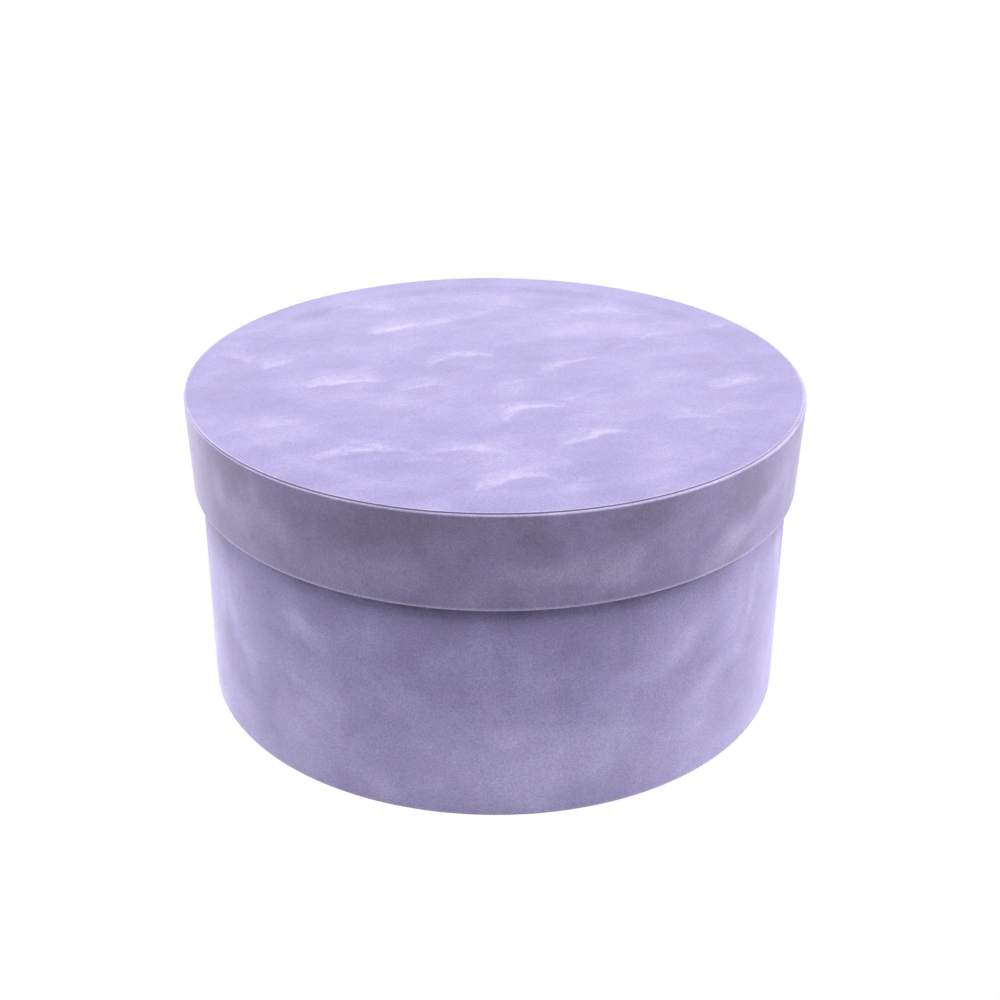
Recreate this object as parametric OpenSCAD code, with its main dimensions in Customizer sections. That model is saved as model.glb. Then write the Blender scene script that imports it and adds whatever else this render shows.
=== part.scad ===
// Round hat box for flowers: a rigid cardboard base and an overlapping lift-off lid,
// both covered in velvet and lined with paper.
// Units are millimetres. The origin is the centre of the underside, and +Z is up.

/* [Box] */
// Outside radius of the velvet-covered base
base_r = 100; // [60:1:150]
// Height of the closed box
total_h = 107.8; // [80:0.1:200]

/* [Base] */
// Thickness of the board that is rolled into the wall
wall_board_t = 1.8; // [1:0.1:3]
// Thickness of the bottom board
bottom_board_t = 2; // [1:0.1:3]
// Thickness of the card that closes the underside
bottom_card_t = 0.4; // [0.2:0.1:1]
// Distance from the outside of the base to the edge of the underside card
bottom_card_inset = 4; // [2:0.5:10]
// Length of velvet turned in over the rim of the base
base_turn_in = 14; // [8:1:30]
// Length of velvet turned under the bottom of the base
base_turn_under = 16; // [8:1:30]

/* [Lid] */
// Height of the lid
lid_h = 32.5; // [20:0.5:60]
// Gap on each side between the base and the lining at the lid's lower edge
lid_clearance = 0.45; // [0.3:0.05:2]
// How much larger the lid's radius is at its top than at its lower edge
lid_flare = 1.2; // [0:0.1:3]
// Thickness of the board rolled into the lid's rim
rim_board_t = 1; // [0.8:0.1:2]
// Thickness of the lid's top board
top_board_t = 1.5; // [1:0.1:3]
// Length of velvet turned in at the lid's lower edge
lid_turn_in = 13; // [8:1:18]
// Length of the rim's velvet turned over onto the top
lid_turn_over = 12; // [6:1:30]

/* [Top cover] */
// Thickness of the velvet disc at its cut edge
top_cover_t = 0.55; // [0.3:0.05:1]
// Distance from the outside of the lid to the cut edge of the disc
top_cover_inset = 0.7; // [0.4:0.05:2]
// How far the glued disc sits off centre, to the left
top_cover_shift = 0.35; // [0:0.05:0.4]
// How far the middle of the disc lies below its edge
top_cover_dip = 0.3; // [0:0.05:0.5]

/* [Velvet, paper and tape] */
// Thickness of the velvet with its backing
velvet_t = 0.5; // [0.3:0.05:1]
// Thickness of the lining paper
lining_t = 0.25; // [0.1:0.05:0.4]
// Distance from a rim to the edge of the lining
lining_drop = 4; // [2:0.5:6]
// Width of the wall lining that is turned onto the bottom board
lining_foot = 8; // [4:1:15]
// Width of the paper tape over a board's butt joint
tape_w = 24; // [10:1:40]
// Thickness of the paper tape
tape_t = 0.15; // [0.1:0.05:0.3]
// Gap left between the butted ends of a rolled board
joint_gap = 0.4; // [0.2:0.1:1]
// Direction of the base's butt joint, in degrees from +X
base_joint_at = 90; // [0:5:355]
// Direction of the lid's butt joint, in degrees from +X
lid_joint_at = 75; // [0:5:355]

/* [Hidden] */
$fn = 128;

velvet_colour = "#9a90c4";
board_colour = "#9c968b";
paper_colour = "#f2efe8";
card_colour = "#e9e6df";
tape_colour = "#b58d5d";

// Paper creases and steps over the velvet beneath it within this height or width
step_run = 1;
// Space kept between the end of a tape and the end of its board
tape_end = 2;
// Space kept beside a turned-over edge that something else steps over
step_room = 0.2;

// Base, from the outside in and from the bottom up
wall_out = base_r - velvet_t;
wall_in = wall_out - wall_board_t;
base_z0 = bottom_card_t + velvet_t;
floor_z = base_z0 + bottom_board_t;
cover_z = total_h - top_cover_t;
lid_board_top = cover_z - velvet_t;
lid_board_z0 = lid_board_top - top_board_t;
rim_z = lid_board_z0 - lining_t;
wall_top = rim_z - velvet_t;
foot_in = wall_in - lining_foot;

// Lid, at its lower edge
lid_z0 = total_h - lid_h;
rim_in = base_r + lid_clearance + lining_t + velvet_t;
rim_out = rim_in + rim_board_t;
rim_board_z0 = lid_z0 + velvet_t;
top_cover_r = rim_out + velvet_t + lid_flare - top_cover_inset;
turn_over_in = rim_out + lid_flare - lid_turn_over;

// How much the lid has widened at a height above its lower edge
function flare(z) = lid_flare * (z - lid_z0) / (cover_z - lid_z0);

// A band between two radii and two heights
module band(r0, r1, z0, z1) translate([r0, z0]) square([r1 - r0, z1 - z0]);

// The same band following the slope of the lid's rim
module flared_band(r0, r1, z0, z1)
    polygon([
        [r0 + flare(z0), z0], [r1 + flare(z0), z0],
        [r1 + flare(z1), z1], [r0 + flare(z1), z1]
    ]);

// Velvet bent round a board's corner at (r, z), towards the side that in_out and up_down give
module fold(r, z, in_out, up_down)
    translate([r, z]) intersection() {
        circle(r = velvet_t);
        translate([in_out < 0 ? -velvet_t : 0, up_down < 0 ? -velvet_t : 0]) square(velvet_t);
    }

// The part of a turned profile that lies within a given width along radius r, in direction at
module strip(r, width, at) {
    sweep = width / r * 180 / PI;
    rotate([0, 0, at - sweep / 2]) rotate_extrude(angle = sweep) children();
}

// The slot between the butted ends of a rolled board
module butt_joint(r, at, z0, z1)
    rotate([0, 0, at]) translate([r / 2, -joint_gap / 2, z0]) cube([r, joint_gap, z1 - z0]);

module base_wall_board() color(board_colour)
    difference() {
        rotate_extrude() band(wall_in, wall_out, base_z0, wall_top);
        butt_joint(wall_out, base_joint_at, base_z0 - 1, wall_top + 1);
        base_tape_solid();
    }

module base_wall_tape() color(tape_colour) base_tape_solid();

module base_tape_solid()
    strip(wall_out, tape_w, base_joint_at)
        band(wall_out - tape_t, wall_out, base_z0 + tape_end, wall_top - tape_end);

module base_bottom_board() color(board_colour)
    translate([0, 0, base_z0]) cylinder(r = wall_in, h = bottom_board_t);

module base_velvet_wrap() color(velvet_colour)
    rotate_extrude() {
        band(wall_out, base_r, base_z0, wall_top);
        fold(wall_out, wall_top, 1, 1);
        band(wall_in, wall_out, wall_top, rim_z);
        fold(wall_in, wall_top, -1, 1);
        band(wall_in - velvet_t, wall_in, rim_z - base_turn_in, wall_top);
        fold(wall_out, base_z0, 1, -1);
        band(base_r - base_turn_under, wall_out, bottom_card_t, base_z0);
    }

// The card is flat below, and thicker in the middle, where it is glued up to the board
module base_bottom_card() color(card_colour)
    rotate_extrude() {
        band(0, base_r - bottom_card_inset, 0, bottom_card_t);
        band(0, base_r - base_turn_under - step_room, bottom_card_t, base_z0);
    }

// A paper strip that steps inwards over the turned-in velvet and has a foot on the bottom board
module base_wall_lining() color(paper_colour)
    rotate_extrude() {
        step_z = rim_z - base_turn_in - step_room;
        polygon([
            [foot_in, floor_z],
            [wall_in, floor_z],
            [wall_in, step_z - step_run],
            [wall_in - velvet_t, step_z],
            [wall_in - velvet_t, rim_z - lining_drop],
            [wall_in - velvet_t - lining_t, rim_z - lining_drop],
            [wall_in - velvet_t - lining_t, step_z],
            [wall_in - lining_t, step_z - step_run],
            [wall_in - lining_t, floor_z + lining_t],
            [foot_in, floor_z + lining_t]
        ]);
    }

// A paper disc that covers the bottom board and the wall lining's foot
module base_bottom_lining() color(paper_colour)
    rotate_extrude()
        polygon([
            [0, floor_z],
            [foot_in - step_room - step_run, floor_z],
            [foot_in - step_room, floor_z + lining_t],
            [wall_in - lining_t - step_room, floor_z + lining_t],
            [wall_in - lining_t - step_room, floor_z + 2 * lining_t],
            [foot_in - step_room, floor_z + 2 * lining_t],
            [foot_in - step_room - step_run, floor_z + lining_t],
            [0, floor_z + lining_t]
        ]);

module lid_rim_board() color(board_colour)
    difference() {
        rotate_extrude() flared_band(rim_in, rim_out, rim_board_z0, lid_board_top);
        butt_joint(rim_out, lid_joint_at, rim_board_z0 - 1, lid_board_top + 1);
        lid_tape_solid();
    }

module lid_rim_tape() color(tape_colour) lid_tape_solid();

module lid_tape_solid()
    strip(rim_out, tape_w, lid_joint_at)
        flared_band(rim_out - tape_t, rim_out, rim_board_z0 + tape_end, lid_board_top - tape_end);

module lid_top_board() color(board_colour)
    rotate_extrude()
        polygon([
            [0, lid_board_z0],
            [rim_in + flare(lid_board_z0), lid_board_z0],
            [rim_in + flare(lid_board_top), lid_board_top],
            [0, lid_board_top]
        ]);

module lid_rim_wrap() color(velvet_colour)
    rotate_extrude() {
        flared_band(rim_out, rim_out + velvet_t, rim_board_z0, lid_board_top);
        fold(rim_out + flare(lid_board_top), lid_board_top, 1, 1);
        band(turn_over_in, rim_out + flare(lid_board_top), lid_board_top, cover_z);
        fold(rim_out + flare(rim_board_z0), rim_board_z0, 1, -1);
        band(rim_in + flare(rim_board_z0), rim_out + flare(rim_board_z0), lid_z0, rim_board_z0);
        fold(rim_in + flare(rim_board_z0), rim_board_z0, -1, -1);
        flared_band(rim_in - velvet_t, rim_in, rim_board_z0, lid_z0 + lid_turn_in);
    }

// A velvet disc glued over the board and over the rim's turned-over velvet
module lid_top_cover() color(velvet_colour)
    translate([-top_cover_shift, 0, 0]) rotate_extrude() {
        step_r = turn_over_in - top_cover_shift - step_room;
        polygon([
            [0, lid_board_top],
            [step_r, lid_board_top],
            [step_r, cover_z],
            [top_cover_r, cover_z],
            [top_cover_r, total_h],
            [turn_over_in, total_h],
            [step_r - step_run, total_h - top_cover_dip],
            [0, total_h - top_cover_dip]
        ]);
    }

// A paper strip that steps inwards over the velvet turned in at the lid's lower edge
module lid_rim_lining() color(paper_colour)
    rotate_extrude() {
        step_z = lid_z0 + lid_turn_in + step_room;
        low_z = lid_z0 + lining_drop;
        low_r = rim_in - velvet_t;
        polygon([
            [low_r - lining_t + flare(low_z), low_z],
            [low_r + flare(low_z), low_z],
            [low_r + flare(step_z), step_z],
            [rim_in + flare(step_z + step_run), step_z + step_run],
            [rim_in + flare(lid_board_z0), lid_board_z0],
            [rim_in - lining_t + flare(lid_board_z0), lid_board_z0],
            [rim_in - lining_t + flare(step_z + step_run), step_z + step_run],
            [low_r - lining_t + flare(step_z), step_z]
        ]);
    }

module lid_top_lining() color(paper_colour)
    translate([0, 0, rim_z])
        cylinder(r = rim_in - lining_t + flare(rim_z) - step_room, h = lining_t);

base_wall_board();
base_wall_tape();
base_bottom_board();
base_velvet_wrap();
base_bottom_card();
base_wall_lining();
base_bottom_lining();
lid_rim_board();
lid_rim_tape();
lid_top_board();
lid_rim_wrap();
lid_top_cover();
lid_rim_lining();
lid_top_lining();
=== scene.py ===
"""The looks of a round velvet flower box with a lift-off lid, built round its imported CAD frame.

Lengths are in metres, in the frame's own axes: the box stands on z = 0 and -Y is its front.
"""

import math

import bpy
import numpy as np
from mathutils import Matrix, Vector, noise


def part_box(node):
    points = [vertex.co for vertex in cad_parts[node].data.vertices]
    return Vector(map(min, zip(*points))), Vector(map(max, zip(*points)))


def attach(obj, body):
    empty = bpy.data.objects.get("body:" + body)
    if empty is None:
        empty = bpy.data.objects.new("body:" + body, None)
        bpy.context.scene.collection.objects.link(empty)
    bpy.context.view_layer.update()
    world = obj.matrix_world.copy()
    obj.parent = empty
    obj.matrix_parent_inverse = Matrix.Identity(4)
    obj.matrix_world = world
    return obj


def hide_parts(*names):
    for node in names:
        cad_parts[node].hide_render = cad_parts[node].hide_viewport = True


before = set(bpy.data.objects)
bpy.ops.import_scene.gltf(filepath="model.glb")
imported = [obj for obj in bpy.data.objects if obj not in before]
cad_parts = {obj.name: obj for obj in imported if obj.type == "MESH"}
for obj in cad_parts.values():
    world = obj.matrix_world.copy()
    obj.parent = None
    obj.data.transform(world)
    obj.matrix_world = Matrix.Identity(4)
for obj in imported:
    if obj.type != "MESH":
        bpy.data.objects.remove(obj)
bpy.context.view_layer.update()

MM = 0.001
TURN = 2 * math.pi
BACK = math.pi / 2  # the direction of +Y, where the seams are


# ---------------------------------------------------------------- sizes, from the frame


def reach(node):
    """How far a node reaches along +Y, which is its outside radius."""
    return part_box(node)[1].y


base_r = reach("base_velvet_wrap")
wall_out = reach("base_wall_board")
wall_in = reach("base_bottom_board")
velvet_t = base_r - wall_out
lining_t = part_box("lid_top_lining")[1].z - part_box("lid_top_lining")[0].z

under_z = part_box("base_velvet_wrap")[0].z
rim_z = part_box("base_velvet_wrap")[1].z
floor_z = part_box("base_bottom_board")[1].z
lid_z0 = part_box("lid_rim_wrap")[0].z
fold_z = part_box("lid_rim_wrap")[1].z
lid_board_z0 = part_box("lid_top_board")[0].z
top_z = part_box("lid_top_cover")[1].z

LID_FLARE = 1.2 * MM  # the lid's top is this much larger in radius than its lower edge
BASE_TURN_IN = 14 * MM
BASE_TURN_UNDER = 16 * MM
LID_TURN_IN = 13 * MM
LID_TURN_OVER = 12 * MM
LINING_DROP = 4 * MM  # from the edge of a wall down (or up) to its lining
LINING_FOOT = 8 * MM
COVER_DIP = 0.3 * MM


def flare(z):
    """How much the lid has widened at a height above its lower edge."""
    return LID_FLARE * (z - lid_z0) / (fold_z - lid_z0)


def cover_circle():
    """Where the cover disc's centre is in X, and its radius."""
    low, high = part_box("lid_top_cover")
    return (low.x + high.x) / 2, (high.y - low.y) / 2


rim_out = reach("lid_rim_board") - flare(fold_z - velvet_t)
rim_in = reach("lid_top_board") - flare(fold_z - velvet_t)

BOARD_ROUND = 0.25 * MM  # how round the boards' edges are under the velvet
SEAM_GAP = 0.1 * MM  # left between the butted ends of a strip of velvet
SEAM_ROUND = 0.5 * MM  # the velvet thins towards a cut end over this length
BASE_SEAM = BACK + math.radians(14)
LID_SEAM = BACK - math.radians(9)
BASE_LINING_SEAM = BASE_SEAM + 2.6
LID_LINING_SEAM = LID_SEAM + 2.2
LINING_LAP = 8 * MM  # a strip of lining paper overlaps itself by this much
LAP_CLIMB = 3 * MM  # and climbs onto its own other end over this much


# ---------------------------------------------------------------- camera

# The lens was picked from several that suit the photo about as well. For that lens, a separate program
# fitted the camera's place, pitch and roll to the outline of the box in the photo.
CAMERA_PLACE = (0.0018, -0.5183, 0.3162)
CAMERA_PITCH = 0.4574  # radians below level
CAMERA_ROLL = 0.0072  # radians
CAMERA_LENS = 59.4  # mm
SENSOR_WIDTH = 36  # mm
CAMERA_CLIP = (0.01, 50)


def make_camera():
    """A view from above the front, a little off the box's axis and rolled by a trace."""
    data = bpy.data.cameras.new("camera")
    data.lens = CAMERA_LENS
    data.sensor_width = SENSOR_WIDTH
    data.clip_start, data.clip_end = CAMERA_CLIP
    camera = bpy.data.objects.new("camera", data)
    bpy.context.collection.objects.link(camera)
    forward = Vector((0, math.cos(CAMERA_PITCH), -math.sin(CAMERA_PITCH)))
    level = Vector((1, 0, 0))
    right = math.cos(CAMERA_ROLL) * level + math.sin(CAMERA_ROLL) * level.cross(forward)
    up = right.cross(forward)
    turn = Matrix((right, up, -forward)).transposed().to_4x4()
    camera.matrix_world = Matrix.Translation(CAMERA_PLACE) @ turn
    bpy.context.scene.camera = camera


# ---------------------------------------------------------------- studio

# name: place, size and watts of each softbox. The places and sizes were chosen one by one. The watts are not:
# a separate program fitted them to the photo's brightness by least squares, and they are rounded here.
SOFTBOXES = {
    "over_front": ((0.0, -0.45, 1.1), 0.6, 18.6),
    "back": ((0.0, 1.3, 0.7), 1.2, 6.1),
    "left": ((-1.1, 0.1, 0.5), 0.8, 5.7),
    "right": ((1.1, 0.1, 0.5), 0.8, 15.1),
    "left_back": ((-0.8, 0.8, 0.5), 0.7, 12.6),
    "left_low": ((-1.0, 0.45, 0.22), 0.4, 4.8),
    "right_low": ((1.0, 0.45, 0.22), 0.4, 4.4),
}
AIM = Vector((0, 0, 0.06))  # the middle of the box, which every softbox faces
ROOM_LIGHT = 0.15
FLOOR_GREY = (0.35, 0.35, 0.35)  # what the floor throws back on the box
FLOOR_REACH = 12


def seen_white(tree, kind, lit, output):
    """Shows a stage surface to the camera as plain white, and leaves it as it was to the light."""
    paths = tree.nodes.new("ShaderNodeLightPath")
    white = tree.nodes.new(kind)
    white.inputs["Color"].default_value = (1, 1, 1, 1)
    mix = tree.nodes.new("ShaderNodeMixShader")
    tree.links.new(paths.outputs["Is Camera Ray"], mix.inputs[0])
    tree.links.new(lit.outputs[0], mix.inputs[1])
    tree.links.new(white.outputs[0], mix.inputs[2])
    tree.links.new(mix.outputs[0], output.inputs["Surface"])


def make_floor():
    """A wide plain floor."""
    signs = ((-1, -1), (1, -1), (1, 1), (-1, 1))
    corners = [(x * FLOOR_REACH, y * FLOOR_REACH, 0) for x, y in signs]
    mesh = bpy.data.meshes.new("floor")
    mesh.from_pydata(corners, [], [(0, 1, 2, 3)])
    floor = bpy.data.objects.new("floor", mesh)
    bpy.context.collection.objects.link(floor)
    material = plain("floor_white", FLOOR_GREY, 0.8)
    nodes = material.node_tree.nodes
    seen_white(material.node_tree, "ShaderNodeEmission", nodes["Principled BSDF"], nodes["Material Output"])
    mesh.materials.append(material)


def make_softboxes():
    """Large round lamps on all sides of the box."""
    for name, (place, size, watts) in SOFTBOXES.items():
        data = bpy.data.lights.new(name, "AREA")
        data.shape = "DISK"
        data.size = size
        data.energy = watts
        lamp = bpy.data.objects.new(name, data)
        bpy.context.collection.objects.link(lamp)
        lamp.location = place
        lamp.rotation_euler = (AIM - lamp.location).to_track_quat("-Z", "Y").to_euler()


def make_room():
    """An even, dim room."""
    scene = bpy.context.scene
    scene.view_settings.view_transform = "Standard"
    scene.world = bpy.data.worlds.new("room")
    scene.world.use_nodes = True
    nodes = scene.world.node_tree.nodes
    nodes["Background"].inputs["Color"].default_value = (1, 1, 1, 1)
    nodes["Background"].inputs["Strength"].default_value = ROOM_LIGHT
    seen_white(scene.world.node_tree, "ShaderNodeBackground", nodes["Background"], nodes["World Output"])


# ---------------------------------------------------------------- building materials


def plain(name, colour, roughness):
    """A new material, its node tree made, with a Principled shader of one colour."""
    material = bpy.data.materials.new(name)
    material.use_nodes = True
    shader = material.node_tree.nodes["Principled BSDF"]
    shader.inputs["Base Color"].default_value = (*colour, 1)
    shader.inputs["Roughness"].default_value = roughness
    return material


class Nodes:
    """Builds a node tree."""

    def __init__(self, tree):
        self.tree = tree

    def node(self, kind, *inputs, **settings):
        """Adds a node, sets its properties, and links or sets its inputs in order."""
        made = self.tree.nodes.new(kind)
        for key, value in settings.items():
            setattr(made, key, value)
        for socket, value in zip(made.inputs, inputs):
            self.feed(socket, value)
        return made

    def feed(self, socket, value):
        """Links a socket to an output, or sets its value."""
        if isinstance(value, bpy.types.NodeSocket):
            self.tree.links.new(value, socket)
        elif value is not None:
            socket.default_value = value

    def math(self, operation, *values):
        """The output of a Math node."""
        return self.node("ShaderNodeMath", *values, operation=operation).outputs[0]

    def length(self, vector):
        """How long a vector is."""
        return self.node("ShaderNodeVectorMath", vector, operation="LENGTH").outputs["Value"]

    def moved(self, where, place=(0, 0, 0), turn=0.0, scale=(1, 1, 1)):
        """Coordinates seen from a place, turned about Z by turn degrees and measured in units of scale."""
        rotation = (0, 0, math.radians(turn))
        made = self.node("ShaderNodeMapping", where, place, rotation, scale, vector_type="TEXTURE")
        return made.outputs[0]

    def noise(self, where, size, detail=2.0, rough=0.5):
        """A node with noise of about -1 to 1, centred on 0, with features of about that size in metres."""
        made = self.node("ShaderNodeTexNoise", where, normalize=False)
        made.inputs["Scale"].default_value = 1 / size
        made.inputs["Detail"].default_value = detail
        made.inputs["Roughness"].default_value = rough
        return made

    def wavered(self, where, size, amount):
        """Coordinates pushed about by noise, so that edges drawn with them wander."""
        push = self.noise(where, size, 2.0).outputs["Color"]
        made = self.node("ShaderNodeVectorMath", push, (amount,) * 3, where, operation="MULTIPLY_ADD")
        return made.outputs[0]

    def between(self, value, low, high, out_low=0.0, out_high=1.0):
        """value eased from low..high to out_low..out_high."""
        made = self.node("ShaderNodeMapRange", value, low, high, out_low, out_high)
        made.interpolation_type = "SMOOTHSTEP"
        return made.outputs[0]

    def step(self, value, middle, width, out_low=0.0, out_high=1.0):
        """Eases from out_low to out_high where value passes the middle, over that width."""
        return self.between(value, middle - 0.5 * width, middle + 0.5 * width, out_low, out_high)

    def ramp(self, value, stops, interpolation="EASE"):
        """value looked up in (position, colour) stops."""
        made = self.node("ShaderNodeValToRGB", value)
        made.color_ramp.interpolation = interpolation
        elements = made.color_ramp.elements
        while len(elements) < len(stops):
            elements.new(0.5)
        for element, (position, colour) in zip(elements, stops):
            element.position = position
            element.color = (*colour, 1)
        return made.outputs["Color"]

    def mix(self, amount, a, b, blend="MIX"):
        """Colour a turned towards colour b by amount."""
        made = self.node("ShaderNodeMix", data_type="RGBA", blend_type=blend)
        colours = [s for s in made.inputs if s.type == "RGBA"]
        self.feed(made.inputs[0], amount)
        self.feed(colours[0], a if isinstance(a, bpy.types.NodeSocket) else (*a, 1))
        self.feed(colours[1], b if isinstance(b, bpy.types.NodeSocket) else (*b, 1))
        return [s for s in made.outputs if s.type == "RGBA"][0]


class Paint(Nodes):
    """Builds one material's node tree, reading places from the object's own coordinates."""

    def __init__(self, name, colour, roughness, **constants):
        self.material = plain(name, colour, roughness)
        super().__init__(self.material.node_tree)
        self.shader = self.tree.nodes["Principled BSDF"]
        for socket, value in constants.items():
            self.shader.inputs[socket.replace("_", " ")].default_value = value
        self.place = self.node("ShaderNodeTexCoord").outputs["Object"]

    def finish(self, colour, height, depth, strength):
        """Links the colour, and a bump of that height."""
        self.feed(self.shader.inputs["Base Color"], colour)
        bump = self.node("ShaderNodeBump")
        bump.inputs["Strength"].default_value = strength
        bump.inputs["Distance"].default_value = depth
        self.feed(bump.inputs["Height"], height)
        self.feed(self.shader.inputs["Normal"], bump.outputs[0])
        return self.material


# ---------------------------------------------------------------- velvet's colours and marks

# Each velvet from where its pile is pressed away, over where it lies even, to where it is crushed pale. The
# colours were scaled by factors that separate programs took from the photo and a render, then listed here.
LID_TOP = ((0.139, 0.125, 0.243), (0.173, 0.155, 0.291), (0.294, 0.268, 0.398))
LID_SIDE = ((0.154, 0.138, 0.229), (0.190, 0.169, 0.292), (0.313, 0.281, 0.424))
BASE_SIDE = ((0.203, 0.181, 0.316), (0.247, 0.221, 0.402), (0.362, 0.330, 0.535))
EVEN = 0.3  # where the even pile is on the scale from pressed (0) to crushed (1)
# The cut edge's colour is partly the backing cloth and partly painted shade of the gap under the cover's
# edge.
CUT_EDGE_AND_GAP_SHADE = (0.15, 0.13, 0.19)  # the backing cloth that shows where the velvet is cut
FLECK = (1.009, 0.995, 0.995)  # single tufts lean towards pink
FLECK_SIZE = 0.8 * MM
ROSY = (1.02, 0.99, 0.985)  # whole patches do too
ROSY_SIZE = 9 * MM
PILE_DEPTH = 0.04 * MM
VELVET = dict(
    Sheen_Weight=0.45,
    Sheen_Roughness=0.4,
    Sheen_Tint=(0.86, 0.82, 1.0, 1),
    Specular_IOR_Level=0.1,
)
# The grain of the pile: its size, and how far it changes the colour.
TOP_GRAIN = (0.8 * MM, 0.085)
SIDE_GRAIN = (0.55 * MM, 0.115)
# Soft clouds in the pile: their size, and how far they change its level.
TOP_CLOUDS = (17 * MM, 0.25)
SIDE_CLOUDS = (26 * MM, 0.3)

# Crush marks on the lid's top: x, y, half length (mm), turn (degrees), arch, strength. They bow away from the
# front. Their ends were read off the photo, and a separate program turned those into places on the
# lid.
TOP_MARKS = (
    (-37, 45, 10, 28, 0.2, 0.85), (-18, 53, 9, 38, 0.2, 0.40), (-4, 64, 10, 38, 0.2, 0.35),
    (-47, 67, 13, 0, 0.9, 0.35), (-14, 18, 14, 22, 1.0, 0.80), (-74, 10, 7, 35, 0.2, 0.60),
    (-89, 14, 6, -30, 0.2, 0.40), (-51, -6, 13, 20, 0.5, 0.75), (-25, -9, 9, 25, 0.2, 0.55),
    (7, -6, 8, 25, 0.2, 0.40), (26, 13, 11, 38, 0.2, 0.50), (10, -27, 11, 34, 1.3, 0.80),
    (29, -15, 11, 42, 0.2, 0.30), (-69, -42, 8, 20, 0.2, 0.35), (-40, -61, 15, 12, 0.9, 1.00),
    (-9, -59, 12, 0, 0.9, 0.55), (-21, -68, 6, 15, 0.2, 0.40), (30, -50, 13, 30, 0.5, 0.90),
    (6, -80, 13, 18, 1.0, 0.75), (26, -83, 9, 48, 0.2, 0.35), (84, 51, 9, 30, 0.2, 0.30),
    (57, 41, 9, 32, 0.2, 0.35), (46, 29, 6, 30, 0.2, 0.40), (81, -4, 10, 35, 0.6, 0.60),
    (61, -34, 8, 10, 0.2, 0.35), (71, -42, 8, 22, 0.2, 0.30), (39, 67, 13, -3, 0.9, 0.40),
    (6, 71, 7, -15, 0.2, 0.35),
)
TOP_MARK_WIDTH = 7  # mm, to either side
TOP_MARK_STRENGTH = 0.64
# A crush mark's strength across it, from front to back: even, a slight shade, the pale edge, a long fade.
STREAK = ((0.12, 0.2), (0.30, 0.13), (0.47, 1.0), (0.66, 0.55), (0.97, 0.2))

# Pale strokes on the sides, and some darker ones: bearing (degrees from the front), height, half length and
# width (mm), turn (degrees), strength. The strokes' places came about like the crush marks'. The broad soft
# ones are painted light and painted shade, added where a comparison with the photo showed the render too pale
# or too dark.
BASE_MARKS = (
    (-37, 57, 10, 5, -27, 0.50), (-52, 34, 10, 5, -75, 0.30), (-58, 46, 8, 5, -90, 0.35),
    (-55, 14, 13, 8, -10, 0.35), (-30, 33, 13, 8, 20, 0.30), (-22, 10, 10, 6, -20, 0.30),
    (-20, 60, 10, 5, 10, 0.15), (-63, 50, 10, 5, -90, 0.25), (47, 36, 16, 6, 22, 0.50),
    (36, 50, 10, 5, 43, 0.40), (56, 57, 12, 4, 75, 0.40), (29, 46, 10, 7, 25, 0.25),
    (8, 49, 14, 6, 0, 0.18), (3, 30, 10, 6, 10, 0.22), (25, 24, 10, 6, 0, 0.22),
    (8, 12, 12, 5, 0, 0.22), (70, 62, 11, 5, -75, 0.50), (-57, 24, 22, 20, 0, -0.50),
    (54, 20, 20, 20, 0, -0.32), (4, 12, 30, 14, 0, 0.14), (-60, 36, 7, 8, 0, -0.35),
    (-71, 10, 8, 8, 0, -0.55), (-45, 10, 10, 8, 0, -0.35), (50, 37, 16, 8, 0, -0.32),
    (-31, 66, 10, 8, 0, -0.22), (71, 64, 8, 8, 0, 0.35), (27, 67, 34, 10, 0, -0.22),
    (5, 26, 40, 15, 0, 0.17),
)
# The lid's strokes, in the same columns; its broad soft ones are painted light and painted shade too.
LID_MARKS = (
    (-56, 96, 9, 5, 90, 0.40), (-44, 102, 8, 4, -85, 0.40), (-38, 91, 6, 7, 60, 0.25),
    (-52, 88, 9, 5, -30, 0.30), (9, 88, 11, 5, 5, 0.30), (11, 101, 8, 4, -85, 0.30),
    (23, 88, 10, 5, 38, 0.35), (45, 84, 12, 6, 25, 0.55), (57, 92, 10, 5, 20, 0.40),
    (17, 101, 5, 4, 90, 0.20), (35, 90, 24, 16, 0, 0.25), (-8, 97, 24, 14, 0, -0.22),
    (-15, 100, 14, 10, 0, -0.20), (-46, 92, 9, 14, 0, 0.18), (24, 82, 16, 6, 0, 0.24),
)

# Level changes along the walls' edges: height, side (-1 below it, 1 above it), how far the change reaches
# (mm), amount.
BASE_BANDS = (
    # paler at the bottom fold: partly pile parted by the fold, partly painted highlight
    (under_z + 0.9 * MM, -1, 1.2, 0.5),
    # painted light: paler over the lower part, for light thrown up from the floor
    (under_z + 34 * MM, -1, 40, 0.34),
    # painted shade: darker towards the lid's edge
    (lid_z0 - 12 * MM, 1, 24, -0.05),
    # paler at the rim's fold: partly pile parted by the fold, partly painted highlight
    (rim_z - 0.5 * MM, 1, 0.5, 0.6),
)
LID_BANDS = (
    # paler at the lower fold: partly pile parted by the fold, partly painted highlight
    (lid_z0 + 0.9 * MM, -1, 1.4, 0.8),
    # darker towards the top of the lid's side
    (fold_z - 12 * MM, 1, 14, -0.1),
    # paler at the top fold: partly pile parted by the fold, partly painted highlight
    (fold_z - 0.4 * MM, 1, 0.4, 0.7),
)
# A line along a wall: its lowest and highest height, how softly it ends (mm), how dark or pale it makes the
# pile, and how much of that is left where the line is faintest.
# On the base, a painted shadow just below the lid's edge, broken up by noise.
BASE_PAINTED_LID_SHADOW = (lid_z0 - 2.6 * MM, lid_z0 - 0.6 * MM, 1.4, 0.74, 0.3)
# On the lid, a paler lower fold: partly pile worn by the fold, partly painted highlight.
LID_FOLD_WEAR_AND_HIGHLIGHT = (lid_z0 - 1.0 * MM, lid_z0 + 0.5 * MM, 0.7, 1.85, 0.85)


# ---------------------------------------------------------------- velvet's materials


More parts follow.
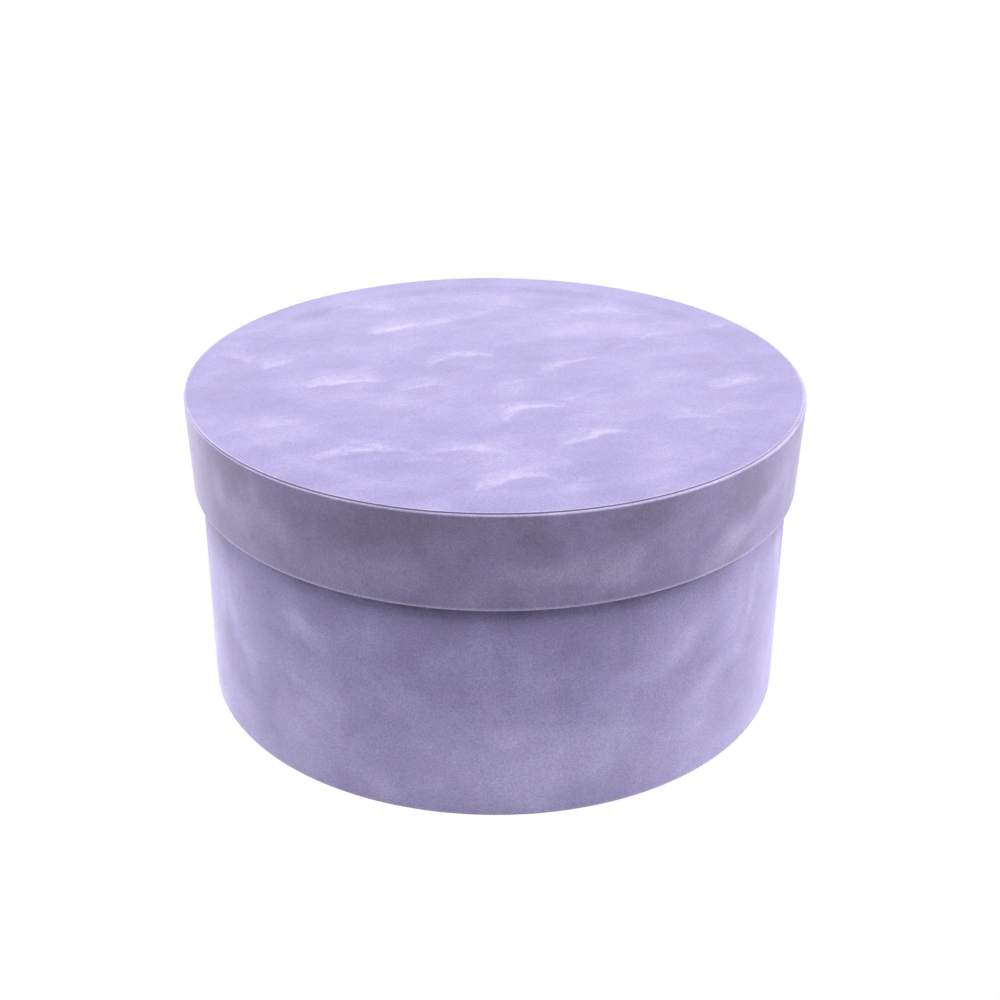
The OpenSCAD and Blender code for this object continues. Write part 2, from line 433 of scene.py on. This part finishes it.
def crush_mark():
    """A node group: an arched streak, sharp on its near side and fading behind, in a square of -1 to 1."""
    group = bpy.data.node_groups.new("crush_mark", "ShaderNodeTree")
    group.interface.new_socket("Place", in_out="INPUT", socket_type="NodeSocketVector")
    group.interface.new_socket("Arch", in_out="INPUT", socket_type="NodeSocketFloat")
    group.interface.new_socket("Mark", in_out="OUTPUT", socket_type="NodeSocketFloat")
    nodes = Nodes(group)
    given = nodes.node("NodeGroupInput").outputs
    split = nodes.node("ShaderNodeSeparateXYZ", given["Place"]).outputs
    along = nodes.math("MULTIPLY", split["X"], split["X"])
    across = nodes.math("MULTIPLY_ADD", along, given["Arch"], split["Y"])
    position = nodes.math("MULTIPLY_ADD", across, 0.4, 0.4)
    streak = nodes.ramp(position, [(v, (s,) * 3) for v, s in STREAK])
    signed = nodes.math("SUBTRACT", streak, STREAK[0][1])
    mark = nodes.math("MULTIPLY", signed, nodes.between(along, 0.1, 1.0, 1.0, 0.0))
    nodes.node("NodeGroupOutput", mark)
    return group


def top_marks(paint, where):
    """All the crush marks of the lid's top, added up and broken by noise."""
    group = crush_mark()
    total = 0.0
    for x, y, half, turn, arch, strength in TOP_MARKS:
        size = (1.15 * half * MM, TOP_MARK_WIDTH * MM, 1)
        mark = paint.node("ShaderNodeGroup", node_tree=group)
        paint.feed(mark.inputs["Place"], paint.moved(where, (x * MM, y * MM, 0), turn, size))
        paint.feed(mark.inputs["Arch"], arch)
        total = paint.math("MULTIPLY_ADD", mark.outputs[0], strength, total)
    broken = paint.noise(paint.place, 3.5 * MM, 3.0, 0.6).outputs[0]
    return paint.math("MULTIPLY", total, paint.between(broken, -0.5, 0.5, 0.65, 1.25))


def side_marks(paint, where, marks):
    """Soft oval strokes on a wall. where is along the wall from its front, and up it."""
    total = 0.0
    for bearing, height, half, wide, turn, strength in marks:
        centre = (math.radians(bearing) * base_r, height * MM, 0)
        local = paint.moved(where, centre, turn, (1.25 * half * MM, wide * MM, 1))
        total = paint.math("ADD", paint.between(paint.length(local), 0.0, 1.3, 0.8 * strength, 0.0), total)
    return total


def edge_bands(paint, height, bands, level):
    """The pile's level with its changes along a wall's edges."""
    for start, side, reach_mm, amount in bands:
        past = paint.math("MULTIPLY", paint.math("SUBTRACT", height, start), float(side))
        level = paint.math("ADD", paint.step(past, 0.0, reach_mm * MM, 0.0, amount), level)
    return level


def edge_line(paint, height, line):
    """What a line along a wall multiplies the colour by: a painted shadow below the lid's edge on the base,
    and on the lid a paler lower fold, partly worn and partly painted highlight.
    """
    low, high, soft, strength, faintest = line
    above = paint.step(height, low, soft * MM)
    below = paint.step(height, high, soft * MM, 1.0, 0.0)
    # noise that makes the painted line patchy
    worn = paint.noise(paint.place, 7 * MM, 3.0, 0.6).outputs[0]
    patchy = paint.between(worn, -0.5, 0.4, faintest, 1.0)
    here = paint.math("MULTIPLY", paint.math("MULTIPLY", above, below), patchy)
    return paint.math("MULTIPLY_ADD", here, strength - 1, 1.0)


def velvet(paint, colours, level, grain, cut=None, tone=None):
    """Finishes a velvet from how pressed or crushed its pile is, with warmer patches and a fine grain.

    cut is how much of a place is the bare cut edge, whose colour is partly the backing cloth and partly
    painted shade, and tone multiplies the colour with the painted lines along the walls.
    """
    deep, even, pale = colours
    tuft, contrast = grain
    colour = paint.ramp(level, [(0.0, deep), (EVEN, even), (1.0, pale)], "LINEAR")
    warmth = paint.noise(paint.moved(paint.place, (0.05, 0.01, 0.03)), ROSY_SIZE, 3.0, 0.6).outputs[0]
    rosy = paint.mix(1.0, colour, ROSY, "MULTIPLY")
    colour = paint.mix(paint.between(warmth, 0.0, 0.6, 0.0, 1.0), colour, rosy)
    pile = paint.noise(paint.place, tuft, 1.5, 0.5).outputs[0]
    flecks = paint.noise(paint.moved(paint.place, (0.02, 0.03, 0.01)), FLECK_SIZE, 1.0).outputs[0]
    flecked = paint.mix(1.0, colour, FLECK, "MULTIPLY")
    colour = paint.mix(paint.between(flecks, -0.6, 0.6), colour, flecked)
    speckle = paint.between(pile, -0.6, 0.6, 1 - contrast, 1 + contrast)
    if tone is not None:
        speckle = paint.math("MULTIPLY", speckle, tone)
    dusted = paint.node("ShaderNodeVectorMath", colour, operation="SCALE")
    paint.feed(dusted.inputs["Scale"], speckle)
    colour = dusted.outputs[0]
    if cut is not None:
        colour = paint.mix(cut, colour, CUT_EDGE_AND_GAP_SHADE)
    return paint.finish(colour, pile, PILE_DEPTH, 3 * contrast)


def velvet_top():
    """Velvet seen flat: crush marks over soft clouds, with a pale ring of frayed pile and painted highlight
    round a darker cut edge of backing cloth and painted shade.
    """
    paint = Paint("velvet_top", LID_TOP[1], 0.9, **VELVET)
    centre_x, radius = cover_circle()
    split = paint.node("ShaderNodeSeparateXYZ", paint.moved(paint.place, (centre_x, 0, 0))).outputs
    out = paint.length(paint.node("ShaderNodeCombineXYZ", split["X"], split["Y"]).outputs[0])
    # a pale ring inside the cover's edge: partly frayed pile, partly painted highlight
    frayed_pile_and_highlight = paint.between(out, radius - 0.7 * MM, radius - 0.3 * MM, 0.0, 0.45)
    outer = paint.between(out, radius - 0.30 * MM, radius - 0.12 * MM)
    below = paint.between(split["Z"], top_z - 0.20 * MM, top_z - 0.10 * MM, 1.0, 0.0)
    # the darker cut edge: partly backing cloth, partly painted shade of the gap under the cover's edge
    cut = paint.math("MULTIPLY", outer, below)
    where = paint.wavered(paint.wavered(paint.place, 14 * MM, 2.5 * MM), 3 * MM, 0.3 * MM)
    size, amount = TOP_CLOUDS
    clouds = paint.noise(paint.moved(where, turn=24, scale=(1.6, 1, 1)), size, 3.0, 0.55).outputs[0]
    level = paint.math("MULTIPLY_ADD", clouds, amount, EVEN)
    level = paint.math("ADD", level, frayed_pile_and_highlight)
    level = paint.math("MULTIPLY_ADD", top_marks(paint, where), TOP_MARK_STRENGTH, level)
    return velvet(paint, LID_TOP, level, TOP_GRAIN, cut=cut)


def velvet_side(name, colours, marks, bands, line):
    """Velvet seen on a wall: soft clouds and pale strokes where the pile lies a little differently, with
    broad strokes of painted light and painted shade.

    bands are where it changes along an edge: paler at sharp folds, partly as the folds part the pile and
    partly as painted highlight; darker near the lid's edge as painted shade; on the base paler towards the
    bottom as painted light; on the lid darker towards its top. line is a painted shadow below the lid's edge
    on the base, and on the lid a paler lower fold, partly worn and partly painted highlight.
    """
    paint = Paint(name, colours[1], 0.9, **VELVET)
    split = paint.node("ShaderNodeSeparateXYZ", paint.place).outputs
    bearing = paint.math("ARCTAN2", split["X"], paint.math("MULTIPLY", split["Y"], -1.0))
    along = paint.math("MULTIPLY", bearing, base_r)
    unrolled = paint.node("ShaderNodeCombineXYZ", along, split["Z"]).outputs[0]
    where = paint.wavered(unrolled, 12 * MM, 3 * MM)
    size, amount = SIDE_CLOUDS
    clouds = paint.noise(paint.wavered(paint.place, 20 * MM, 6 * MM), size, 4.0, 0.6).outputs[0]
    level = paint.math("MULTIPLY_ADD", clouds, amount, EVEN)
    level = edge_bands(paint, split["Z"], bands, level)
    level = paint.math("ADD", side_marks(paint, where, marks), level)
    return velvet(paint, colours, level, SIDE_GRAIN, tone=edge_line(paint, split["Z"], line))


# ---------------------------------------------------------------- paper and board


def lining_paper():
    """Smooth off-white lining paper with a faint cockle from the glue."""
    paint = Paint("lining_paper", (0.75, 0.73, 0.68), 0.6, Specular_IOR_Level=0.3)
    fibres = paint.noise(paint.place, 1.1 * MM, 3.0, 0.6).outputs[0]
    clouds = paint.noise(paint.place, 28 * MM, 3.0).outputs[0]
    colour = paint.mix(paint.between(clouds, -0.4, 0.4), (0.71, 0.685, 0.63), (0.79, 0.77, 0.72))
    colour = paint.mix(paint.between(fibres, 0.0, 0.5, 0, 0.3), colour, (0.62, 0.59, 0.53))
    height = paint.math("MULTIPLY_ADD", clouds, 4.0, fibres)
    return paint.finish(colour, height, 0.03 * MM, 0.5)


def greyboard():
    """Recycled greyboard, with flecks and short fibres."""
    paint = Paint("greyboard", (0.36, 0.33, 0.29), 0.9)
    clouds = paint.noise(paint.place, 16 * MM, 4.0, 0.6).outputs[0]
    flecks = paint.noise(paint.place, 0.7 * MM, 2.0).outputs[0]
    colour = paint.mix(paint.between(clouds, -0.4, 0.4), (0.30, 0.275, 0.24), (0.42, 0.385, 0.34))
    colour = paint.mix(paint.between(flecks, 0.25, 0.45, 0, 0.6), colour, (0.12, 0.11, 0.1))
    return paint.finish(colour, flecks, 0.05 * MM, 0.6)


def white_card():
    """The white-faced card under the base, a little scuffed."""
    paint = Paint("white_card", (0.8, 0.78, 0.73), 0.55, Specular_IOR_Level=0.3)
    streaked = paint.moved(paint.place, turn=35, scale=(1, 5, 1))
    scuffs = paint.noise(streaked, 5 * MM, 4.0, 0.6).outputs[0]
    fibres = paint.noise(paint.place, 1.2 * MM, 3.0, 0.6).outputs[0]
    colour = paint.mix(paint.between(scuffs, 0.0, 0.7, 0, 0.4), (0.80, 0.78, 0.73), (0.66, 0.63, 0.58))
    return paint.finish(colour, fibres, 0.03 * MM, 0.5)


def kraft_tape():
    """Brown gummed paper tape."""
    paint = Paint("kraft_tape", (0.5, 0.33, 0.16), 0.6)
    ribs = paint.noise(paint.moved(paint.place, scale=(1, 1, 0.08)), 6 * MM).outputs[0]
    colour = paint.mix(paint.between(ribs, -0.3, 0.3), (0.44, 0.285, 0.135), (0.55, 0.37, 0.19))
    return paint.finish(colour, ribs, 0.04 * MM, 0.6)


# ---------------------------------------------------------------- meshes

SPOKES = 420  # points round the box
END_STEPS = (0, 0.05, 0.12, 0.2, 0.3, 0.42, 0.6)  # mm from a strip's end, where its points are close
DISC_MIDDLE = 2 * MM  # the first ring of a paper disc
DISC_RINGS = 70
COVER_MIDDLE = 1.5 * MM  # the first ring of the lid's cover
COVER_RINGS = 84
CREASE = 40  # degrees, from which an edge is sharp


def run(start, end, normal, steps):
    """Points along a straight stretch of a profile, without its last one: (r, z, normal r, normal z)."""
    for i in range(steps):
        k = i / steps
        yield (*(a + (b - a) * k for a, b in zip(start, end)), *normal)


def bend(centre, radius, start, end, steps=6):
    """Points round a bend of a profile, from one direction to another in degrees."""
    for i in range(steps + 1):
        a = math.radians(start + (end - start) * i / steps)
        c, s = math.cos(a), math.sin(a)
        yield (centre[0] + radius * c, centre[1] + radius * s, c, s)


def build(name, points, faces, material, body, replaces):
    """A smooth mesh piece that rides on a body and stands for a CAD node."""
    mesh = bpy.data.meshes.new(name)
    mesh.from_pydata(points, [], faces)
    mesh.shade_smooth()
    mesh.set_sharp_from_angle(angle=math.radians(CREASE))
    mesh.materials.append(material)
    piece = bpy.data.objects.new(name, mesh)
    bpy.context.collection.objects.link(piece)
    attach(piece, body)
    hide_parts(replaces)
    return piece


def strip_angles(rim, seam, lap):
    """The angles of a strip's points, close together at its ends, and the first and last of them."""
    ends = np.array(END_STEPS) * MM / rim
    first = seam + (0 if lap else SEAM_GAP / 2 / rim)
    last = seam + TURN + (lap / rim if lap else -SEAM_GAP / 2 / rim)
    inner = np.linspace(first + 2 * ends[-1], last - 2 * ends[-1], SPOKES)
    return np.concatenate([first + ends, inner, last - ends[::-1]]), first, last


def strip_faces(count, wide):
    """The faces of a closed strip: its two sides, then its two long edges, then its two ends."""
    under = count * wide
    faces = []
    for i in range(count - 1):
        for j in range(wide - 1):
            a, b = i * wide + j, (i + 1) * wide + j
            faces.append((a, a + 1, b + 1, b))
            faces.append((under + a, under + b, under + b + 1, under + a + 1))
        for j, flip in ((0, False), (wide - 1, True)):
            a, b = i * wide + j, (i + 1) * wide + j
            edge = (a, b, under + b, under + a)
            faces.append(edge[::-1] if flip else edge)
    for i, flip in ((0, True), (count - 1, False)):
        for j in range(wide - 1):
            a = i * wide + j
            edge = (a, a + 1, under + a + 1, under + a)
            faces.append(edge if flip else edge[::-1])
    return faces


def sweep(profile, thickness, seam, relief=None, lap=0.0):
    """Points and faces of a strip bent round the box's axis, from one side of its seam to the other.

    profile is the strip's glued side and thickness stands on it along the normals. relief(angle, r, z,
    normal r, normal z) adds to the thickness. With lap, the far end climbs over the near one by that length.
    """
    r, z, nr, nz = np.array(list(profile)).T
    rim = r.max()
    angle, first, last = strip_angles(rim, seam, lap)
    to_end = np.minimum(angle - first, last - angle) * rim
    thin = 1 - 0.5 * np.clip(1 - to_end / SEAM_ROUND, 0, 1) ** 2
    thick = thickness * thin[:, None] * np.ones(len(r))
    lift = np.zeros_like(thick)
    if lap:
        climb = smooth((angle - (seam + TURN)) * rim / LAP_CLIMB + 1, 0, 1)
        lift = (thickness * climb)[:, None] * np.abs(nr)
    if relief:
        thick = thick + relief(angle[:, None], r[None, :], z[None, :], nr[None, :], nz[None, :])
    sides = []
    for offset in (lift + thick, lift):
        rr, zz = r + nr * offset, z + nz * offset
        spread = (rr * np.cos(angle)[:, None], rr * np.sin(angle)[:, None], zz)
        sides.append(np.stack(spread, axis=2).reshape(-1, 3))
    return np.concatenate(sides), strip_faces(len(angle), len(r))


def disc(rings, upper, lower, centre=(0.0, 0.0)):
    """Points and faces of a thin round sheet.

    rings are its radii from the middle out, and upper(r, angle) and lower(r, angle) its faces' heights.
    """
    angle = np.linspace(0, TURN, SPOKES, endpoint=False)
    rings = np.array(rings)
    r, a = np.meshgrid(rings, angle, indexing="ij")
    middle = np.zeros((1, 1))
    points = []
    for height in (upper, lower):
        z = np.broadcast_to(height(r, a), r.shape)
        spread = (centre[0] + r * np.cos(a), centre[1] + r * np.sin(a), z)
        points.append(np.stack(spread, axis=2).reshape(-1, 3))
        points.append(np.array([[*centre, float(height(middle, middle)[0, 0])]]))
    n, m = len(rings), SPOKES
    under = n * m + 1
    faces = []
    for k in range(m):
        nxt = (k + 1) % m
        faces.append((n * m, k, nxt))
        faces.append((under + n * m, under + nxt, under + k))
        for i in range(n - 1):
            a, b, c, d = i * m + k, i * m + nxt, (i + 1) * m + nxt, (i + 1) * m + k
            faces.append((a, d, c, b))
            faces.append((under + a, under + b, under + c, under + d))
        a, b = (n - 1) * m + k, (n - 1) * m + nxt
        faces.append((a, under + a, under + b, b))
    return np.concatenate(points), faces


def uneven(x, y, z, size, seed):
    """Smooth noise from -1 to 1 over a grid of places, with bumps of about that size."""
    at = np.stack(np.broadcast_arrays(x, y, z), axis=-1) / size + seed
    flat = [noise.noise(Vector(p)) for p in at.reshape(-1, 3)]
    return np.array(flat).reshape(at.shape[:-1])


def smooth(value, low, high):
    """Eases from 0 to 1 as value goes from low to high."""
    k = np.clip((value - low) / (high - low), 0, 1)
    return k * k * (3 - 2 * k)


# ---------------------------------------------------------------- velvet pieces

SWELL = (34 * MM, 0.07 * MM)  # size and height of a wall's slow swells
RIPPLE = (13 * MM, 0.02 * MM)  # and of the smaller ones on them
TOP_SWELL = (30 * MM, 0.05 * MM)
TOP_RIPPLE = (11 * MM, 0.02 * MM)
GATHERS = 46  # round the box
GATHER_UNDER = 0.22 * MM
GATHER_INSIDE = 0.1 * MM
ARRIS = 0.14 * MM  # how worn the cover's cut edge is
CUT_WANDER = (9 * MM, 0.05 * MM)  # how long and how far the scissors wandered


def wall_relief(angle, r, z, nr, nz):
    """A hand-covered board is never quite even: slow swells, and no more than a tenth of a millimetre."""
    x, y = r * np.cos(angle), r * np.sin(angle)
    swell = uneven(x, y, z, SWELL[0], 3.1) * SWELL[1] + uneven(x, y, z, RIPPLE[0], 8.7) * RIPPLE[1]
    return (swell - 0.05 * MM) * np.abs(nr)


def base_relief(angle, r, z, nr, nz):
    """The wall's swells, with small gathers where the velvet turns under and in."""
    swell = wall_relief(angle, r, z, nr, nz)
    wander = 1.3 * np.sin(3 * angle + 0.4) + 0.8 * np.sin(7 * angle)
    gathers = np.clip(np.sin(GATHERS * angle + wander), 0, 1) ** 3
    turned = wall_out - r
    under = (nz < -0.9) * smooth(turned, 0.3 * MM, 1.6 * MM) * (1 - smooth(turned, 2.4 * MM, 3.6 * MM))
    inside = (nr < -0.9) * smooth(rim_z - z, 1.0 * MM, 4.5 * MM) * (z > rim_z - 6 * MM)
    return swell + GATHER_UNDER * under * gathers + GATHER_INSIDE * inside * gathers


def make_base_velvet(material):
    """One strip from inside the rim, over it, down the wall and under the bottom."""
    c = BOARD_ROUND
    wall_top = rim_z - velvet_t
    board_z0 = under_z + velvet_t
    profile = [
        *run((wall_in, rim_z - BASE_TURN_IN), (wall_in, wall_top - c), (-1, 0), 12),
        *bend((wall_in + c, wall_top - c), c, 180, 90),
        *run((wall_in + 2 * c, wall_top), (wall_out - c, wall_top), (0, 1), 3),
        *bend((wall_out - c, wall_top - c), c, 90, 0),
        *run((wall_out, wall_top - 2 * c), (wall_out, board_z0 + c), (1, 0), 44),
        *bend((wall_out - c, board_z0 + c), c, 0, -90),
        *run((wall_out - 2 * c, board_z0), (base_r - BASE_TURN_UNDER, board_z0), (0, -1), 14),
    ]
    points, faces = sweep(profile, velvet_t, BASE_SEAM, base_relief)
    piece = build("base_velvet", points, faces, material, "base", "base_velvet_wrap")


def make_lid_velvet_rim(material):
    """One strip from the top, over the edge, down the rim, and up inside the lid."""
    c = BOARD_ROUND
    board_z0, board_z1 = lid_z0 + velvet_t, fold_z - velvet_t
    top_r, low_r, in_r = rim_out + flare(board_z1), rim_out + flare(board_z0), rim_in + flare(board_z0)
    wall_z1, turn_z0, turn_z1 = board_z1 - 2 * c, board_z0 + 2 * c, lid_z0 + LID_TURN_IN
    profile = [
        *run((top_r + velvet_t - LID_TURN_OVER, board_z1), (top_r - c, board_z1), (0, 1), 8),
        *bend((top_r - c, board_z1 - c), c, 90, 0),
        *run((rim_out + flare(wall_z1), wall_z1), (low_r, board_z0 + c), (1, 0), 24),
        *bend((low_r - c, board_z0 + c), c, 0, -90),
        *bend((in_r + c, board_z0 + c), c, 270, 180),
        *run((rim_in + flare(turn_z0), turn_z0), (rim_in + flare(turn_z1), turn_z1), (-1, 0), 10),
    ]
    points, faces = sweep(profile, velvet_t, LID_SEAM, wall_relief)
    piece = build("lid_velvet_rim", points, faces, material, "lid", "lid_rim_wrap")


def make_lid_velvet_top(material):
    """A disc with a bare cut edge, a little off centre, that dips within the velvet turned over below it."""
    centre_x, radius = cover_circle()
    step = reach("lid_rim_wrap") - LID_TURN_OVER

    def upper(r, angle):
        x, y = r * np.cos(angle), r * np.sin(angle)
        dip = COVER_DIP * (1 - smooth(r, step - 5 * MM, step + 2 * MM))
        swell = uneven(x, y, 0 * x, TOP_SWELL[0], 1.7) * TOP_SWELL[1]
        swell = swell + uneven(x, y, 0 * x, TOP_RIPPLE[0], 4.2) * TOP_RIPPLE[1]
        worn = np.clip(r - (radius - ARRIS), 0, ARRIS) / ARRIS
        return top_z - 0.03 * MM - dip + swell - ARRIS * (1 - np.sqrt(1 - worn * worn))

    def lower(r, angle):
        return fold_z - COVER_DIP * (1 - smooth(r, step - 4 * MM, step)) + 0 * angle

    coarse = list(np.linspace(COVER_MIDDLE, radius - 0.6 * MM, COVER_RINGS))
    fine = [radius - ARRIS + ARRIS * math.sin(math.radians(a)) for a in (0, 22, 45, 68, 90)]
    points, faces = disc(coarse + fine, upper, lower, (centre_x, 0.0))
    angle = np.arctan2(points[:, 1], points[:, 0] - centre_x)
    r = np.hypot(points[:, 0] - centre_x, points[:, 1])
    wander = uneven(np.cos(angle) * radius, np.sin(angle) * radius, 0 * angle, CUT_WANDER[0], 5.3)
    wander = wander * CUT_WANDER[1] * smooth(r, radius - 0.5 * MM, radius)
    points[:, 0] += np.cos(angle) * wander
    points[:, 1] += np.sin(angle) * wander
    piece = build("lid_velvet_top", points, faces, material, "lid", "lid_top_cover")


# ---------------------------------------------------------------- paper linings

FOOT_ROUND = 1.0 * MM  # how the wall lining bends onto the floor
LINING_STEP = 1.0 * MM  # how soon a lining steps off the turned-in velvet


def lining_relief(angle, r, z, nr, nz):
    """Faint cockles in the glued paper, only ever away from the wall."""
    x, y = r * np.cos(angle), r * np.sin(angle)
    return (0.5 + 0.5 * uneven(x, y, z, 22 * MM, 6.6)) * 0.12 * MM * np.abs(nr)


def disc_rings(radius):
    """The radii of a paper disc's rings."""
    return list(np.linspace(DISC_MIDDLE, radius, DISC_RINGS))


def make_base_lining(material):
    """A strip inside the wall that steps out below the turned velvet and has a foot on the bottom."""
    step_z = rim_z - BASE_TURN_IN
    on_velvet = wall_in - velvet_t
    bend_r, bend_z = wall_in - FOOT_ROUND, floor_z + FOOT_ROUND
    profile = [
        *run((on_velvet, rim_z - LINING_DROP), (on_velvet, step_z), (-1, 0), 8),
        *run((on_velvet, step_z), (wall_in, step_z - LINING_STEP), (-1, 0), 3),
        *run((wall_in, step_z - LINING_STEP), (wall_in, bend_z), (-1, 0), 40),
        *bend((bend_r, bend_z), FOOT_ROUND, 0, -90),
        *run((bend_r - 0.5 * MM, floor_z), (wall_in - LINING_FOOT, floor_z), (0, -1), 4),
    ]
    profile = [(r, z, -abs(nr) if nz == 0 else -nr, -nz) for r, z, nr, nz in profile]
    points, faces = sweep(profile, lining_t, BASE_LINING_SEAM, lining_relief, LINING_LAP)
    faces = [f[::-1] for f in faces]
    build("base_lining_wall", points, faces, material, "base", "base_wall_lining")


def make_floor_lining(material):
    """A paper disc on the bottom board, stepping up over the wall lining's foot."""
    foot = wall_in - LINING_FOOT

    def lower(r, angle):
        return floor_z + lining_t * smooth(r, foot - 1.2 * MM, foot - 0.2 * MM) + 0 * angle

    def upper(r, angle):
        x, y = r * np.cos(angle), r * np.sin(angle)
        return lower(r, angle) + lining_t + (0.5 + 0.5 * uneven(x, y, 0 * x, 26 * MM, 2.2)) * 0.1 * MM

    points, faces = disc(disc_rings(reach("base_bottom_lining")), upper, lower)
    build("base_lining_floor", points, faces, material, "base", "base_bottom_lining")


def make_lid_rim_lining(material):
    """A strip inside the lid's rim, from above the turned-in velvet's edge up to the top board."""
    step_z = lid_z0 + LID_TURN_IN
    low_z = lid_z0 + LINING_DROP
    off_z = step_z + LINING_STEP
    low_r = rim_in - velvet_t
    profile = [
        *run((low_r + flare(low_z), low_z), (low_r + flare(step_z), step_z), (-1, 0), 6),
        *run((low_r + flare(step_z), step_z), (rim_in + flare(off_z), off_z), (-1, 0), 3),
        *run((rim_in + flare(off_z), off_z), (rim_in + flare(lid_board_z0), lid_board_z0), (-1, 0), 12),
    ]
    points, faces = sweep(profile, lining_t, LID_LINING_SEAM, None, LINING_LAP)
    build("lid_lining_rim", points, faces, material, "lid", "lid_rim_lining")


def make_lid_top_lining(material):
    """A paper disc under the lid's top board, which the base's rim presses flat."""

    def lower(r, angle):
        x, y = r * np.cos(angle), r * np.sin(angle)
        free = 1 - smooth(r, wall_in - 6 * MM, wall_in - 3 * MM)
        return rim_z - free * (0.5 + 0.5 * uneven(x, y, 0 * x, 24 * MM, 9.4)) * 0.1 * MM

    def upper(r, angle):
        return lid_board_z0 + 0 * r

    points, faces = disc(disc_rings(reach("lid_top_lining")), upper, lower)
    build("lid_lining_top", points, faces, material, "lid", "lid_top_lining")


# ---------------------------------------------------------------- the box

make_camera()
make_floor()
make_softboxes()
make_room()

paper = lining_paper()
make_base_velvet(velvet_side("velvet_base", BASE_SIDE, BASE_MARKS, BASE_BANDS, BASE_PAINTED_LID_SHADOW))
make_lid_velvet_rim(velvet_side("velvet_lid", LID_SIDE, LID_MARKS, LID_BANDS, LID_FOLD_WEAR_AND_HIGHLIGHT))
make_lid_velvet_top(velvet_top())
make_base_lining(paper)
make_floor_lining(paper)
make_lid_rim_lining(paper)
make_lid_top_lining(paper)

CARRIED_OVER = {
    greyboard(): ("base_wall_board", "base_bottom_board", "lid_rim_board", "lid_top_board"),
    kraft_tape(): ("base_wall_tape", "lid_rim_tape"),
    white_card(): ("base_bottom_card",),
}
for material, names in CARRIED_OVER.items():
    for name in names:
        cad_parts[name].material_slots[0].material = material
